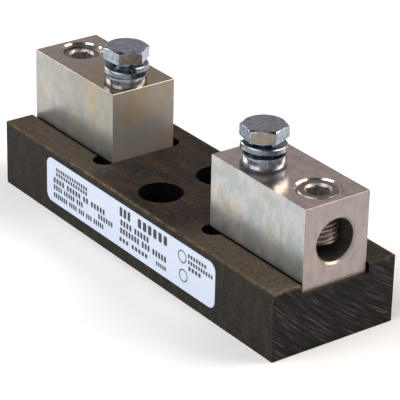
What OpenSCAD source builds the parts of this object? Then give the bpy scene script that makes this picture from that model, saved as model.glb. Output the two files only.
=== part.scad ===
// One-pole block for a bolt-in blade fuse: a laminate base, two plated wire connectors
// seated in milled pockets, and the bolts, washers and screws that hold fuse and wires.
// Millimetres. +X runs to the near connector, +Z is up, the origin is the middle of the underside.

/* [Base] */
// Length of the laminate bar
base_l = 120.3; // [119:0.1:150]
// Width of the bar
base_w = 37.5; // [34:0.1:60]
// Thickness of the bar
base_h = 18.5; // [17.5:0.1:26]
// Chamfer left on the sawn edges
base_edge = 0.2; // [0.05:0.05:0.6]

/* [Connector pockets] */
// Depth of the pockets that stop the connectors turning
pocket_depth = 2.7; // [1:0.1:4]
// Distance a connector stands from the middle of its pocket, towards the rear
rear_lean = 0.3; // [0:0.05:1]
// Gap left between the connector and the rear wall of its pocket
pocket_side_gap = 0.25; // [0.1:0.05:1]
// Gap between the connector and the inner wall of its pocket
pocket_end_gap = 0.3; // [0.1:0.05:1.5]
// Diameter of the end mill that relieved the inner corners
relief_d = 6; // [3:0.1:8]

/* [Connectors] */
// Length of a connector
conn_l = 37.35; // [34:0.05:44]
// Width of a connector
conn_w = 19.7; // [17:0.1:22]
// Height of a connector
conn_h = 22.2; // [20.5:0.1:28]
// Chamfer on the sawn edges of a connector
conn_edge = 0.25; // [0.05:0.05:0.6]

/* [Wire holes] */
// Diameter of the hole for the wire
wire_d = 11.4; // [9:0.1:13]
// Height of its axis above the connector's underside
wire_h = 11.3; // [9:0.1:12.5]
// Depth of the hole to the start of the drill point
wire_depth = 20; // [15:0.5:22]
// Chamfer round the mouth of the hole
wire_rim = 0.5; // [0.1:0.1:1]

/* [Clamp screws] */
// Thread diameter of the clamp screw
clamp_d = 11.1; // [9:0.1:12]
// Length of the clamp screw
clamp_l = 12.7; // [11:0.1:14]
// Distance of its axis from the connector's outer end
clamp_inset = 7.5; // [7:0.1:8.5]
// Width across the flats of its hexagon socket
socket_af = 5.56; // [4:0.02:6]
// Depth of the hexagon socket
socket_depth = 6; // [3:0.1:8]
// How far the tapped hole goes past the axis of the wire hole
clamp_reach = 3.1; // [3.1:0.1:4.5]
// How far the near screw stands below the connector's top
sunk_near = 0.2; // [0:0.1:2]
// How far the far screw stands below the connector's top
sunk_far = 1; // [0:0.1:2]

/* [Fuse bolts] */
// Distance between the two bolts, which is the fuse's hole spacing
bolt_spacing = 59.9; // [56:0.1:62]
// Distance of a bolt from its connector's inner end
bolt_inset = 8.15; // [7:0.05:9]
// Thread diameter of the bolts and of the screws under the base
bolt_d = 6.35; // [5:0.05:7]
// Length of the bolt under its head
bolt_l = 19.05; // [17:0.05:20]
// Width across the flats of the head
hex_af = 11.1; // [10:0.1:12.5]
// Height of the hexagon
hex_h = 3.4; // [3:0.1:5]
// Height of the round bearing face under the hexagon
hex_face_h = 0.3; // [0.1:0.1:0.6]
// Gap between the loose bolt's bearing face and the top of the lock washer
slack = 0.7; // [0.2:0.1:1.5]
// Turn of the near bolt's head
hex_turn_near = 48.8; // [0:0.1:60]
// Turn of the far bolt's head
hex_turn_far = 6.7; // [0:0.1:60]

/* [Washers] */
// Outside diameter of the flat washers under the bolts
flat_d = 11.1; // [10:0.1:14]
// Thickness of the flat washers
flat_t = 1.5; // [0.8:0.1:2]
// How far the near flat washer lies off its bolt's axis
flat_off = 0.25; // [0:0.05:0.3]
// Direction in which it lies off, anticlockwise from +X
flat_off_turn = 53; // [0:1:359]
// Outside diameter of the lock washers
lock_d = 11.9; // [10.5:0.1:13]
// Thickness of the lock washers
lock_t = 1.6; // [1:0.1:2]
// How far the free lock washer's cut ends spring apart
lock_rise = 1.5; // [0.5:0.1:2]
// Angle of the cut in a lock washer
lock_cut = 7; // [4:1:15]
// Direction that the near lock washer's cut faces, anticlockwise from +X
cut_near = 236; // [0:1:359]
// Direction that the far lock washer's cut faces, anticlockwise from +X
cut_far = 343; // [0:1:359]

/* [Base screws] */
// Thread length of a base screw inside its connector
base_grip = 6; // [4:0.1:6.8]
// Diameter of the pan head
pan_d = 12.4; // [10:0.1:14]
// Height of the pan head
pan_h = 4; // [2.6:0.1:5]
// Width of the arms of the cross recess
cross_w = 1.6; // [1:0.1:2.2]
// Depth of the cross recess
cross_depth = 2; // [1:0.1:2.5]
// Outside diameter of the flat washer on the laminate
base_flat_d = 15.9; // [14:0.1:18]
// Thickness of that washer
base_flat_t = 1.4; // [0.8:0.1:2]
// Depth of the counterbore that hides the screw's head
seat_depth = 9.3; // [8.7:0.1:11]

/* [Mounting holes] */
// Distance between the two mounting holes, across the base
mount_spacing = 18.4; // [16:0.1:20]
// Diameter of the mounting screw's hole
mount_d = 5.6; // [4:0.1:8]
// Diameter of the counterbore for the mounting screw's head
mount_bore_d = 11.9; // [9:0.1:13]
// Depth of that counterbore
mount_bore_depth = 11; // [8:0.1:13]

/* [Label] */
// Length of the label
label_l = 76.2; // [40:0.1:90]
// Height of the label
label_h = 12.7; // [8:0.1:13]
// Thickness of the label
label_t = 0.15; // [0.1:0.05:0.4]
// Corner radius of the label
label_r = 2.4; // [1:0.1:4]
// Distance of the label's middle from the middle of the base, along the base
label_x = -1.2; // [-5:0.05:5]
// Height of the label's middle above the underside
label_z = 10.05; // [8:0.05:10.5]

/* [Fits] */
// Radial play between a thread and its tapped hole, which are both plain here
thread_play = 0.05; // [0.02:0.01:0.1]
// Radial play between a lock washer and its screw
washer_play = 0.15; // [0.1:0.05:0.4]
// Radial play between a flat washer and its screw
flat_play = 0.35; // [0.35:0.05:0.6]
// Radial play left beside what stands in a drilled hole or a counterbore
hole_play = 0.4; // [0.2:0.05:0.8]
// Depth of the chamfer at the mouth of a tapped hole
mouth_edge = 0.45; // [0.1:0.05:0.8]
// Play that keeps neighbouring faces from overlapping
seat_play = 0.02; // [0.01:0.01:0.05]

/* [Hidden] */

$fn = 72;
// Overshoot of a cutting tool past the face that it cuts
over = 1;
drill_angle = 118;
hex_chamfer_angle = 30;
lock_steps = 48;

near = 1;
far = -1;

bolt_x = bolt_spacing / 2;
inner_x = bolt_x - bolt_inset;
clamp_x = inner_x + conn_l - clamp_inset;
pocket_x = inner_x - pocket_end_gap;
pocket_w = conn_w + 2 * (rear_lean + pocket_side_gap);
floor_z = base_h - pocket_depth;
top_z = floor_z + conn_h;
wire_z = floor_z + wire_h;
tap_r = bolt_d / 2 + thread_play;
clamp_tap_r = clamp_d / 2 + thread_play;

flat_z = top_z;
lock_z = flat_z + flat_t + seat_play;
face_z = lock_z + lock_t + lock_rise + slack;
head_z = face_z + hex_face_h;
lock_hole_r = bolt_d / 2 + washer_play;
flat_hole_r = bolt_d / 2 + flat_play;

seat_d = base_flat_d + 2 * (rear_lean + hole_play);
laminate_d = bolt_d + 2 * (rear_lean + hole_play);
base_lock_z = seat_depth - base_flat_t - lock_t;
base_screw_l = floor_z + base_grip - base_lock_z;

laminate_colour = "#3a3129";
plated_colour = "#b9b2ab";
zinc_colour = "#a9adb3";
steel_colour = "#8f8a84";
label_colour = "#eef0f2";

// Rectangle with its corners cut at 45 degrees, about the origin
module cut_rectangle(l, w, c) {
    polygon([
        [l / 2, w / 2 - c], [l / 2 - c, w / 2], [c - l / 2, w / 2], [-l / 2, w / 2 - c],
        [-l / 2, c - w / 2], [c - l / 2, -w / 2], [l / 2 - c, -w / 2], [l / 2, c - w / 2]
    ]);
}

// Sawn block with every edge chamfered, standing on z = 0
module sawn_block(l, w, h, c) {
    intersection() {
        linear_extrude(h) cut_rectangle(l, w, c);
        translate([-l / 2, 0, h / 2]) rotate([90, 0, 90]) linear_extrude(l) cut_rectangle(w, h, c);
        translate([0, w / 2, h / 2]) rotate([90, 0, 0]) linear_extrude(w) cut_rectangle(l, h, c);
    }
}

// Mirrors what is drawn for the near end to the far end
module at_end(end) {
    mirror([end == near ? 0 : 1, 0, 0]) children();
}

// Hole of depth h from z = 0 downwards, with a chamfer c round its mouth
module drilled(r, h, c) {
    translate([0, 0, -h]) cylinder(r = r, h = h + over);
    translate([0, 0, -c]) cylinder(r1 = r, r2 = r + c + over, h = c + over);
}

// Pocket for one connector, open at the end of the base, with its inner corners relieved
module pocket() {
    pocket_l = max(base_l / 2, inner_x + conn_l) - pocket_x + over;
    translate([pocket_x, -pocket_w / 2, floor_z]) cube([pocket_l, pocket_w, pocket_depth + over]);
    for (side = [-1, 1])
        translate([pocket_x + relief_d / 2, side * pocket_w / 2, floor_z])
            cylinder(d = relief_d, h = pocket_depth + over);
}

// Laminate bar with its pockets, its mounting holes and the holes for the screws underneath
module base() {
    color(laminate_colour)
        difference() {
            sawn_block(base_l, base_w, base_h, base_edge);
            for (end = [near, far])
                at_end(end) {
                    pocket();
                    translate([bolt_x, 0, -over]) cylinder(d = laminate_d, h = base_h + over);
                    translate([bolt_x, 0, 0]) rotate([180, 0, 0]) drilled(seat_d / 2, seat_depth, base_edge);
                }
            for (side = [-1, 1])
                translate([0, side * mount_spacing / 2, 0]) {
                    translate([0, 0, -over]) cylinder(d = mount_d, h = base_h + over);
                    translate([0, 0, base_h]) drilled(mount_bore_d / 2, mount_bore_depth, base_edge);
                }
        }
}

// Adhesive label on the front long side
module label() {
    color(label_colour)
        translate([label_x, -base_w / 2, label_z]) rotate([90, 0, 0]) linear_extrude(label_t) {
            square([label_l - 2 * label_r, label_h], center = true);
            square([label_l, label_h - 2 * label_r], center = true);
            for (sx = [-1, 1], sz = [-1, 1])
                translate([sx * (label_l / 2 - label_r), sz * (label_h / 2 - label_r)]) circle(r = label_r);
        }
}

// Blind hole for the wire, drilled from the connector's outer end
module wire_hole() {
    tip = wire_d / 2 / tan(drill_angle / 2);
    translate([inner_x + conn_l, 0, wire_z]) rotate([0, 90, 0]) {
        drilled(wire_d / 2, wire_depth, wire_rim);
        translate([0, 0, -wire_depth - tip]) cylinder(r1 = 0, r2 = wire_d / 2, h = tip);
    }
}

// Plated block that takes the wire in its end and the fuse blade on its top
module connector(end) {
    color(plated_colour)
        at_end(end) translate([0, rear_lean, 0])
            difference() {
                translate([inner_x + conn_l / 2, 0, floor_z]) sawn_block(conn_l, conn_w, conn_h, conn_edge);
                wire_hole();
                translate([clamp_x, 0, top_z]) drilled(clamp_tap_r, top_z - wire_z + clamp_reach, mouth_edge);
                translate([bolt_x, 0, top_z]) drilled(tap_r, conn_h + over, mouth_edge);
                translate([bolt_x, 0, floor_z]) rotate([180, 0, 0]) drilled(tap_r, 2 * over, mouth_edge);
            }
}

// Set screw with a hexagon socket, its top face on z = 0
module clamp_screw(end) {
    sunk = end == near ? sunk_near : sunk_far;
    r = clamp_d / 2;
    edge = clamp_d / 20;
    socket_r = socket_af / 2 / cos(30);
    point = socket_af / 2 / tan(drill_angle / 2);
    color(steel_colour)
        at_end(end) translate([clamp_x, rear_lean, top_z - sunk])
            difference() {
                rotate_extrude() polygon([
                    [0, 0], [r - edge, 0], [r, -edge], [r, edge - clamp_l], [r - edge, -clamp_l], [0, -clamp_l]
                ]);
                translate([0, 0, -socket_depth]) cylinder(r = socket_r, h = socket_depth + over, $fn = 6);
                translate([0, 0, -socket_depth - point])
                    cylinder(r1 = 0, r2 = socket_af / 2, h = point);
                translate([0, 0, -edge]) cylinder(r1 = socket_r - edge, r2 = socket_r + over, h = edge + over);
            }
}

// Hexagon bolt, the underside of its hexagon on z = 0
module hex_bolt() {
    corner_r = hex_af / 2 / cos(30);
    flat_r = hex_af / 2;
    drop = (corner_r + over - flat_r) * tan(hex_chamfer_angle);
    tip = bolt_d / 8;
    intersection() {
        cylinder(r = corner_r, h = hex_h, $fn = 6);
        rotate_extrude() polygon([
            [0, 0], [corner_r + over, 0], [corner_r + over, hex_h - drop], [flat_r, hex_h], [0, hex_h]
        ]);
    }
    rotate_extrude() polygon([
        [0, over], [flat_r - hex_face_h, over], [flat_r - hex_face_h, -hex_face_h],
        [bolt_d / 2, -hex_face_h], [bolt_d / 2, tip - bolt_l - hex_face_h],
        [bolt_d / 2 - tip, -bolt_l - hex_face_h], [0, -bolt_l - hex_face_h]
    ]);
}

// Bolt that clamps a blade of the fuse, backed off a little as it is delivered
module fuse_bolt(end) {
    turn = end == near ? hex_turn_near : hex_turn_far;
    color(zinc_colour)
        translate([end * bolt_x, rear_lean, head_z]) rotate([0, 0, turn]) hex_bolt();
}

// Points of a coiled strip of rectangular section, one ring of four points for each step
function strip_ring(a, z, r0, r1, t) = [
    [r0 * cos(a), r0 * sin(a), z], [r1 * cos(a), r1 * sin(a), z],
    [r1 * cos(a), r1 * sin(a), z + t], [r0 * cos(a), r0 * sin(a), z + t]
];

// Spring washer: one left-hand turn that starts low on one side of the cut and ends high on the other
module lock_washer(rise, cut) {
    sweep = 360 - lock_cut;
    points = [
        for (i = [0:lock_steps])
            each strip_ring(cut - lock_cut / 2 - sweep * i / lock_steps, rise * i / lock_steps,
                            lock_hole_r, lock_d / 2, lock_t)
    ];
    sides = [
        for (i = [0:lock_steps - 1], k = [0:3])
            let (a = 4 * i + k, b = 4 * i + (k + 1) % 4)
            each [[a, b, b + 4], [a, b + 4, a + 4]]
    ];
    last = 4 * lock_steps;
    caps = [[0, 3, 2], [0, 2, 1], [last, last + 1, last + 2], [last, last + 2, last + 3]];
    polyhedron(points = points, faces = concat(sides, caps));
}

// Lock washer that lies free under a loose fuse bolt
module free_lock_washer(end) {
    color(zinc_colour)
        translate([end * bolt_x, rear_lean, lock_z]) lock_washer(lock_rise, end == near ? cut_near : cut_far);
}

// Plain ring of outside diameter d, inside radius r and thickness t that stands on z = 0
module ring(d, r, t) {
    difference() {
        cylinder(d = d, h = t);
        translate([0, 0, -over]) cylinder(r = r, h = t + 2 * over);
    }
}

// Flat washer that lies on the connector
module fuse_flat_washer(end) {
    off = end == near ? flat_off : 0;
    color(zinc_colour)
        translate([end * bolt_x + off * cos(flat_off_turn), rear_lean + off * sin(flat_off_turn), flat_z])
            ring(flat_d, flat_hole_r, flat_t);
}

// Pan head screw with a cross recess, its head down and the head's bearing face on z = 0
module pan_screw() {
    r = bolt_d / 2;
    tip = bolt_d / 8;
    crown = pan_h / 2;
    difference() {
        union() {
            translate([0, 0, -crown]) cylinder(d = pan_d, h = crown);
            translate([0, 0, -pan_h]) cylinder(r1 = pan_d / 2 - crown, r2 = pan_d / 2, h = crown);
            rotate_extrude() polygon([
                [0, -over], [r, -over], [r, base_screw_l - tip], [r - tip, base_screw_l], [0, base_screw_l]
            ]);
        }
        for (turn = [0, 90])
            rotate([0, 0, turn]) translate([-pan_d / 4, -cross_w / 2, -pan_h - over])
                cube([pan_d / 2, cross_w, cross_depth + over]);
    }
}

// Screw from underneath that holds a connector in its pocket
module base_screw(end) {
    color(zinc_colour)
        translate([end * bolt_x, rear_lean, base_lock_z]) pan_screw();
}

// Lock washer pressed flat under the base screw's head
module base_lock_washer(end) {
    color(zinc_colour)
        translate([end * bolt_x, rear_lean, base_lock_z])
            difference() {
                ring(lock_d, lock_hole_r, lock_t);
                rotate([0, 0, 45]) translate([0, -lock_d * sin(lock_cut / 2) / 2, -over])
                    cube([lock_d, lock_d * sin(lock_cut / 2), lock_t + 2 * over]);
            }
}

// Flat washer that spreads the base screw's load on the laminate
module base_flat_washer(end) {
    color(zinc_colour)
        translate([end * bolt_x, rear_lean, seat_depth - base_flat_t])
            ring(base_flat_d, flat_hole_r, base_flat_t);
}

base();
label();
connector(near);  // connector_near
connector(far);  // connector_far
clamp_screw(near);  // clamp_screw_near
clamp_screw(far);  // clamp_screw_far
fuse_bolt(near);  // fuse_bolt_near
fuse_bolt(far);  // fuse_bolt_far
free_lock_washer(near);  // lock_washer_near
free_lock_washer(far);  // lock_washer_far
fuse_flat_washer(near);  // flat_washer_near
fuse_flat_washer(far);  // flat_washer_far
base_screw(near);  // base_screw_near
base_screw(far);  // base_screw_far
base_lock_washer(near);  // base_lock_washer_near
base_lock_washer(far);  // base_lock_washer_far
base_flat_washer(near);  // base_flat_washer_near
base_flat_washer(far);  // base_flat_washer_far
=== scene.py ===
# Fuse block: a machined laminate base, two plated wire connectors, loose fuse bolts and a paper label.
import math

import bpy
from mathutils import Matrix, Vector


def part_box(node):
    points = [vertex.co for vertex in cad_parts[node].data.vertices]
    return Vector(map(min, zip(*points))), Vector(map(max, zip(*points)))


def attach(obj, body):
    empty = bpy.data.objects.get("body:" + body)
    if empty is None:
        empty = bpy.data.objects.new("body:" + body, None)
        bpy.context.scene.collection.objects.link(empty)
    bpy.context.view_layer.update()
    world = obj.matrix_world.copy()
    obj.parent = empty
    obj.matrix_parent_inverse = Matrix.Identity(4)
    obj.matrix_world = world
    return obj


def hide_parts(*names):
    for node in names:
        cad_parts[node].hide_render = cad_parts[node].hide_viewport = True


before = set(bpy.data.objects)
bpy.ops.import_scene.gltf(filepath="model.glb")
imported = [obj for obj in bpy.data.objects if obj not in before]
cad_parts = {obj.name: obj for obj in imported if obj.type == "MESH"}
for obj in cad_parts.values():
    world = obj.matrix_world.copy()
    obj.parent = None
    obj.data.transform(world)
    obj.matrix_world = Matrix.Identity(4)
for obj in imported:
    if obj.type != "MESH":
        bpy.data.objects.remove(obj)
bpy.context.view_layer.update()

MM = 0.001
TAU = 2 * math.pi
# The block's two ends, and the side of the frame's X that each one lies on
ENDS = {"near": 1, "far": -1}


def middle_of(node):
    """Middle of a CAD node's box."""
    low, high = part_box(node)
    return (low + high) / 2


# Sizes and places from the frame
BASE_LOW, BASE_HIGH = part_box("base")
CONNECTOR_LOW, CONNECTOR_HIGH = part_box("connector_near")
CONNECTOR_Y = (CONNECTOR_LOW.y + CONNECTOR_HIGH.y) / 2
TOP = CONNECTOR_HIGH.z
POCKET_FLOOR = CONNECTOR_LOW.z
BOLT_X = middle_of("base_screw_near").x
CLAMP_X = middle_of("clamp_screw_near").x

# Threads: bolts and set screws alike have 20 turns an inch
THREAD_PITCH = 1.27 * MM
THREAD_DEPTH = 0.69 * MM
PLAY = 0.05 * MM

# Fuse bolts and base screws
BOLT_RADIUS = 3.175 * MM
BOLT_LENGTH = 19.05 * MM
BOLT_POINT = 0.8 * MM
# How far each head stands turned about its axis in the photo
BOLT_TURNS = {"near": math.radians(48.8), "far": math.radians(6.7)}
# The flat of each head that carries painted shade faces this way, or nearly
SHADED_FLAT_FACING = math.radians(-32)
SHADED_FLAT_NEARNESS = 0.97
HEX_FLATS = 10.8 * MM
HEX_FACE = 0.3 * MM
HEX_EDGE = 0.12 * MM
CROWN_RADIUS = HEX_FLATS / 2 * 0.97
CROWN_SLOPE = math.tan(math.radians(30))
PAN_DOME = 1.2 * MM
PAN_EDGE = 0.1 * MM
# The pan head's outline from its crown down, as shares of its radius and of the dome's height
PAN_OUTLINE = [(0.55, 0.08), (0.85, 0.45), (0.96, 1.0), (1.0, 1.6)]
CROSS_REACH = 3.4 * MM
CROSS_HALF_WIDTH = 0.75 * MM
CROSS_DEPTH = 2.2 * MM
# Turn of the recess in radians
CROSS_TURN = 0.4
# A base screw's thread ends this far short of the CAD solid's tip
TIP_GAP = 0.02 * MM

# Clamp screws and their sockets
CLAMP_RADIUS = 5.55 * MM
CLAMP_EDGE = 0.6 * MM
# Turn of the far screw against the near one in radians
CLAMP_FAR_TURN = 0.5
SOCKET_FLATS = 5.56 * MM
SOCKET_DEPTH = 6 * MM
SOCKET_POINT = 1.67 * MM
SOCKET_RIM = 0.3 * MM

# Washers
SPRING_THICKNESS = 1.6 * MM
SPRING_INNER = 3.325 * MM
SPRING_OUTER = 5.95 * MM
SPRING_ROUND = 0.22 * MM
SPRING_CUT = math.radians(7)
# Directions in degrees that the spring washers' cuts face
SPRING_CUT_FACES = {"near": 236, "far": 347}
BASE_SPRING_CUT_FACES = 120
WASHER_PLAY = 0.35 * MM
WASHER_ROUND = 0.25 * MM
WASHER_EDGE = 0.05 * MM
WASHER_MOUTH = 0.1 * MM

# Connectors: the wire hole in the end, and the mouths of the two holes in the top
CONNECTOR_EDGE = 0.055 * MM
WIRE_RADIUS = 5.7 * MM
WIRE_DEPTH = 20 * MM
WIRE_HEIGHT = 27.1 * MM
WIRE_RIM = 0.5 * MM
DRILL_ANGLE = math.radians(118)
CLAMP_FLOOR = 24 * MM
MOUTH_EDGE = 0.4 * MM
MOUTH_PLAY = 1.2 * PLAY

# Base: its pockets, the mounting holes between them, and the screw holes with seats from underneath
BASE_EDGE = 0.18 * MM
POCKET_RELIEF = 3 * MM
POCKET_HALF_WIDTH = 10.4 * MM
POCKET_INNER = 21.5 * MM
MOUNT_SPACING = 18.4 * MM
MOUNT_RADIUS = 2.8 * MM
MOUNT_BORE_RADIUS = 5.95 * MM
MOUNT_BORE_DEPTH = 11 * MM
SEAT_RADIUS = 8.65 * MM
SEAT_DEPTH = 9.3 * MM
SCREW_HOLE = 3.875 * MM

# Label and its print
LABEL_CORNER = 2.4 * MM
CORNER_STEPS = 10
PRINT_DEPTH = 0.015 * MM
# Shares of a letter's pitch: the block's width and rounding, and the space between words
LETTER_WIDTH = 0.66
LETTER_CORNER = 0.16
WORD_GAP = 0.7
RING_OUTER = 1.8 * MM
RING_INNER = 1.45 * MM
# Print on the label, from the label's middle in mm: left end, right end, height of the line's middle,
# letter height and blocks in each word. The blocks stand for letters and spell nothing
PRINT_LINES = [
    (-33.55, -18.25, 3.85, 1.1, (14,)), (-33.55, -18.25, 2.45, 1.1, (13,)),
    (-34.75, -9.85, 0.45, 1.6, (4, 5, 2, 5)), (-34.75, -20.35, -1.65, 1.5, (4, 5, 3)),
    (-13.25, -6.25, -1.65, 1.5, (6,)), (-34.75, -10.55, -3.95, 1.5, (7, 4, 3, 3, 5)),
    (-3.35, 2.05, 3.95, 2.6, (3,)), (4.85, 18.55, 3.95, 2.6, (6,)), (-2.95, 10.15, 0.95, 1.7, (4, 5)),
    (-3.05, 17.85, -1.35, 1.7, (7, 3, 5)), (-3.35, 9.75, -3.95, 1.2, (3, 5)),
    (13.15, 17.75, -3.95, 1.2, (5,)), (26.75, 34.75, 4.05, 1.1, (7,)), (26.85, 37.45, 2.35, 1.1, (10,)),
    (27.05, 32.65, 0.65, 1.2, (4,))]
PRINT_RINGS = [(24.35, 2.75), (24.95, -2.35)]

# How far a cutting tool reaches past what it cuts, and how far it stands proud of a face it shares
REACH = MM
SKIN = 0.01 * MM

# Sides of round pieces, of the large thread and of the small one
ROUND_STEPS = 96
CLAMP_STEPS = 64
BOLT_STEPS = 48
# Corners closer than this are one, and edges blunter than this are shaded smooth
MERGE_DISTANCE = 1e-6
SMOOTH_ANGLE = math.radians(35)

# Paint goes by a face's normal: a flat face has all of it along an axis, a slope at least a part,
# and the wall of a bore little along the bore
FLAT = 0.99
SLOPE = 0.3
BORE_WALL = 0.6

# The camera stands where the photograph was taken from
CAMERA_PLACE = Vector((425.083, -312.445, 272.457)) * MM
CAMERA_TARGET = Vector((11.542, -5.178, 20.0)) * MM
CAMERA_ROLL = math.radians(1.3625)
CAMERA_LENS = 202.983
SENSOR_WIDTH = 36
CLIP_RANGE = (0.01, 50)

# Light of the room, matched to what the plated tops and the bolts' chamfers mirror
WALL = "#b5adab"
CEILING = "#38383c"
FLOOR_SIZE = 6
LAMP_TARGET = Vector((0, 0, 0.02))
# Softboxes: azimuth and elevation in degrees, distance, width and height in metres, watts and colour
LAMPS = {
    "front_softbox": (-93, 50, 1.2, 0.9, 0.7, 9.6, "#ffffff"),
    "back_softbox": (60, 44, 1.3, 0.7, 0.6, 10, "#ffffff"),
    "right_window": (77, 24, 1.2, 0.4, 0.26, 3.1, "#ffe6c0"),
    "left_window": (-154, 25, 1.2, 0.8, 0.12, 4.8, "#ffffff"),
    "camera_fill": (-40, 27, 1.2, 0.9, 0.5, 1.3, "#ffffff")}

# Kinds of shader node that the materials are built from
NOISE = "ShaderNodeTexNoise"
RAMP = "ShaderNodeValToRGB"
RANGE = "ShaderNodeMapRange"
MIX = "ShaderNodeMix"
MATH = "ShaderNodeMath"
VECTOR = "ShaderNodeVectorMath"
MAPPING = "ShaderNodeMapping"
SEPARATE = "ShaderNodeSeparateXYZ"
COMBINE = "ShaderNodeCombineXYZ"
COORDINATES = "ShaderNodeTexCoord"
BUMP = "ShaderNodeBump"

# Sockets that share their name with another one of the node are reached by number
VALUE, FROM_MIN, FROM_MAX, TO_MIN, TO_MAX = range(5)
FIRST, SECOND = 0, 1
FACTOR, FLOAT_A, FLOAT_B, COLOUR_A, COLOUR_B = 0, 2, 3, 6, 7


# Colours and nodes

def srgb(code):
    """Linear RGBA of an sRGB hex colour."""
    parts = [int(code[i:i + 2], 16) / 255 for i in (1, 3, 5)]
    return [p / 12.92 if p <= 0.04045 else ((p + 0.055) / 1.055) ** 2.4 for p in parts] + [1.0]


def add_node(material, kind, inputs, output=None, stops=(), **settings):
    """Adds a node and gives back one output, the first one in use unless another is named.

    inputs maps a socket's name or number to a value, a hex colour or another node's output, stops are
    a ramp's (place, hex colour) pairs, and settings are the node's own properties.
    """
    node = material.node_tree.nodes.new(kind)
    for key, value in settings.items():
        setattr(node, key, value)
    for _ in stops[2:]:
        node.color_ramp.elements.new(0.5)
    for index, (place, code) in enumerate(stops):
        node.color_ramp.elements[index].position = place
        node.color_ramp.elements[index].color = srgb(code)
    for name, value in inputs.items():
        if isinstance(value, bpy.types.NodeSocket):
            material.node_tree.links.new(value, node.inputs[name])
        else:
            node.inputs[name].default_value = srgb(value) if isinstance(value, str) else value
    return node.outputs[output] if output else next(socket for socket in node.outputs if socket.enabled)


def new_material(name, **shader):
    """Material with a Principled shader whose own sockets hold the constants, and its object coordinates."""
    material = bpy.data.materials.new(name)
    material.use_nodes = True
    principled = material.node_tree.nodes["Principled BSDF"]
    for key, value in shader.items():
        principled.inputs[key.replace("_", " ")].default_value = value
    return material, principled, add_node(material, COORDINATES, {}, output="Object")


def connect(material, shader, **sockets):
    """Links outputs to the shader's sockets, named with underscores for spaces."""
    for key, output in sockets.items():
        material.node_tree.links.new(output, shader.inputs[key.replace("_", " ")])


def per_mm(size):
    """Noise scale whose blotches are about this many millimetres across."""
    return 1 / (size * MM)


def outer_mask(material, coordinate, start, end):
    """0 to 1 where a coordinate's distance from the middle goes from start to end."""
    distance = add_node(material, MATH, {FIRST: coordinate}, operation="ABSOLUTE")
    return add_node(material, RANGE, {VALUE: distance, FROM_MIN: start, FROM_MAX: end})


# Laminate of the base

def canvas_threads(material, fibre):
    """How far the canvas's threads show through the resin."""
    return add_node(material, RANGE, {VALUE: fibre, FROM_MIN: 0.45, FROM_MAX: 0.75,
                                      TO_MIN: 0.0, TO_MAX: 0.5})


def milled_top(material, spot, x, y, fibre):
    """Top of the bar: brown resin shows in long clouds through near-black."""
    drawn = add_node(material, MAPPING, {"Vector": spot, "Scale": (0.4, 1, 1), "Rotation": (0, 0, 0.35)})
    clouds = add_node(material, NOISE, {"Vector": drawn, "Scale": per_mm(6), "Detail": 4, "Roughness": 0.68})
    colour = add_node(material, RAMP, {"Fac": clouds},
                      stops=[(0.36, "#18171a"), (0.5, "#211c19"), (0.66, "#37291d")])
    threads = canvas_threads(material, fibre)
    colour = add_node(material, MIX, {FACTOR: threads, COLOUR_A: colour, COLOUR_B: "#4a3d30"},
                      data_type="RGBA")
    # Painted light: the front ledges beside the connectors are made paler where light from the connectors'
    # sides falls on them
    fade = 6 * MM
    beside = add_node(material, RANGE, {VALUE: y, FROM_MIN: -POCKET_HALF_WIDTH - MM,
                                        FROM_MAX: -POCKET_HALF_WIDTH, TO_MIN: 1.0, TO_MAX: 0.3})
    along = outer_mask(material, x, POCKET_INNER - fade, POCKET_INNER + fade)
    painted_glow = add_node(material, MATH, {FIRST: beside, SECOND: along}, operation="MULTIPLY")
    painted_glow = add_node(material, MATH, {FIRST: painted_glow, SECOND: fibre}, operation="MULTIPLY")
    return add_node(material, MIX, {FACTOR: painted_glow, COLOUR_A: colour, COLOUR_B: "#625749"}, data_type="RGBA")


def long_side(material, spot, fibre):
    """Long sides of the bar: short upright streaks of resin in dark canvas."""
    upright = add_node(material, MAPPING, {"Vector": spot, "Scale": (1, 1, 0.2), "Rotation": (0, 0.15, 0)})
    streaks = add_node(material, NOISE, {"Vector": upright, "Scale": per_mm(1.2), "Detail": 3,
                                         "Roughness": 0.75})
    colour = add_node(material, RAMP, {"Fac": streaks},
                      stops=[(0.34, "#171611"), (0.5, "#1e1c16"), (0.68, "#2f281e")])
    threads = canvas_threads(material, fibre)
    return add_node(material, MIX, {FACTOR: threads, COLOUR_A: colour, COLOUR_B: "#3f382e"},
                    data_type="RGBA")


def saw_marks(material, spot, y):
    """Arcs of a saw blade whose middle lies above the bar and behind it."""
    blade_middle = (60 * MM, 91 * MM, 127 * MM)
    reach = add_node(material, VECTOR, {FIRST: spot, SECOND: blade_middle}, operation="DISTANCE")
    slow = add_node(material, MATH, {FIRST: y, SECOND: 0.045}, operation="MULTIPLY")
    arc = add_node(material, COMBINE, {"X": reach, "Y": slow})
    return add_node(material, NOISE, {"Vector": arc, "Scale": per_mm(0.42), "Detail": 3, "Roughness": 0.7})


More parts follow.
